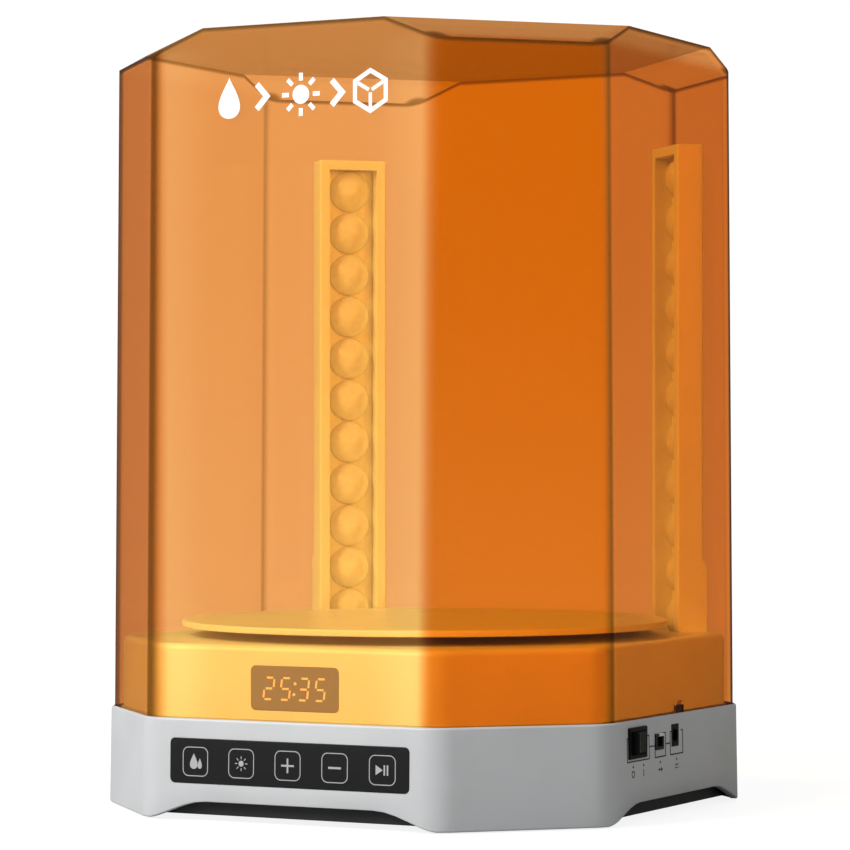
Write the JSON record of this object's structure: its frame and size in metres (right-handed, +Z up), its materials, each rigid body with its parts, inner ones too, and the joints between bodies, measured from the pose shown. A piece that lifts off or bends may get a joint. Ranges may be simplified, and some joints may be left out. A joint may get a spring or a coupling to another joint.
{
  "type": "uv curing lamp",
  "caption": "Tabletop ultraviolet curing lamp: octagonal base with keys and timer display, driven turntable, two light bars and a lift-off orange cover",
  "frame": {"origin": "centre of the footprint, on the surface that the lamp stands on", "axes": "+Z up, the control panel faces -Y, the power switch and inlet are on the +X side"},
  "size_m": [0.2885, 0.285, 0.3865],
  "materials": {
    "cover_plastic": "clear orange moulded acrylic that blocks ultraviolet, polished",
    "base_plastic": "light grey moulded plastic with a fine spark-eroded texture",
    "tray_plastic": "dark moulded plastic",
    "rubber": "moulded rubber",
    "screw_steel": "zinc plated steel",
    "black_plastic": "black moulded plastic",
    "rocker_plastic": "black moulded plastic, satin",
    "panel_gloss": "gloss black panel printed from behind",
    "display_smoke": "smoked clear plastic",
    "circuit_board": "glass-filled board with green solder resist",
    "white_board": "board with white solder resist",
    "ivory_plastic": "natural nylon",
    "capacitor_sleeve": "shrink sleeve over a can",
    "plated_contact": "tin plated brass",
    "sprung_contact": "gold flashed spring",
    "bar_plastic": "white moulded plastic, satin",
    "led_white": "white LED base with a clear drop of resin",
    "lamp_lens": "clear domed lens with a frosted foot",
    "sheet_steel": "zinc plated sheet steel",
    "cast_alloy": "die cast alloy",
    "bearing_bronze": "sintered bronze",
    "shaft_steel": "ground steel",
    "driver_plastic": "dark acetal",
    "pinion_brass": "machined brass",
    "lead_red": "red wire insulation",
    "lead_grey": "grey wire insulation"
  },
  "bodies": {
    "base": {"base_housing": "base_plastic", "bottom_tray": "tray_plastic", "rubber_feet": "rubber", "tray_screws": "screw_steel", "plinth": "base_plastic", "plinth_screws": "screw_steel", "cover_sensor": "black_plastic", "control_overlay": "panel_gloss", "touch_springs": "sprung_contact", "touch_board": "circuit_board", "touch_board_screws": "screw_steel", "display_window": "display_smoke", "display_module": "black_plastic", "display_board": "circuit_board", "display_board_screws": "screw_steel", "main_board": "circuit_board", "main_board_screws": "screw_steel", "board_connectors": "ivory_plastic", "board_capacitors": "capacitor_sleeve", "board_chips": "black_plastic", "buzzer": "black_plastic", "dc_jack": "black_plastic", "output_socket": "ivory_plastic", "switch_body": "black_plastic", "switch_terminals": "plated_contact", "light_bar_left": "bar_plastic", "led_board_left": "white_board", "leds_left": "led_white", "lenses_left": "lamp_lens", "light_bar_right": "bar_plastic", "led_board_right": "white_board", "leds_right": "led_white", "lenses_right": "lamp_lens", "light_bar_screws": "screw_steel", "drive_frame": "sheet_steel", "drive_frame_screws": "screw_steel", "gearbox": "cast_alloy", "motor_can": "sheet_steel", "motor_screws": "screw_steel", "upper_bearing": "bearing_bronze", "lower_bearing": "bearing_bronze", "power_leads": "lead_red", "motor_leads": "lead_red", "display_leads": "lead_grey", "touch_leads": "lead_grey", "light_bar_leads": "lead_red"},
    "cover": {"cover": "cover_plastic"},
    "spindle": {"spindle": "shaft_steel", "drive_gear": "ivory_plastic", "gear_pin": "screw_steel", "circlip": "screw_steel", "thrust_washer": "bearing_bronze", "drive_dog": "driver_plastic"},
    "motor_drive": {"motor_shaft": "shaft_steel", "pinion": "pinion_brass"},
    "turntable": {"turntable_disc": "base_plastic", "turntable_hub": "base_plastic"},
    "rocker": {"switch_rocker": "rocker_plastic"}
  },
  "joints": [
    {"name": "cover_lift", "type": "slide", "parent": "base", "child": "cover", "axis": [0, 0, 1], "range_m": [0, 0.32]},
    {"name": "turntable_spin", "type": "hinge", "parent": "base", "child": "spindle", "pos_m": [0, 0, 0.07], "axis": [0, 0, 1], "continuous": true},
    {"name": "motor_spin", "type": "hinge", "parent": "base", "child": "motor_drive", "pos_m": [-0.038, 0, 0.067], "axis": [0, 0, 1], "continuous": true},
    {"name": "turntable_lift", "type": "slide", "parent": "spindle", "child": "turntable", "axis": [0, 0, 1], "range_m": [0, 0.04]},
    {"name": "power_rocker", "type": "hinge", "parent": "base", "child": "rocker", "pos_m": [0.139, -0.05, 0.039], "axis": [0, 0, 1], "range_deg": [-22, 0]}
  ],
  "couplings": [
    {"joint": "motor_spin", "follows": "turntable_spin", "ratio": -3.75}
  ]
}
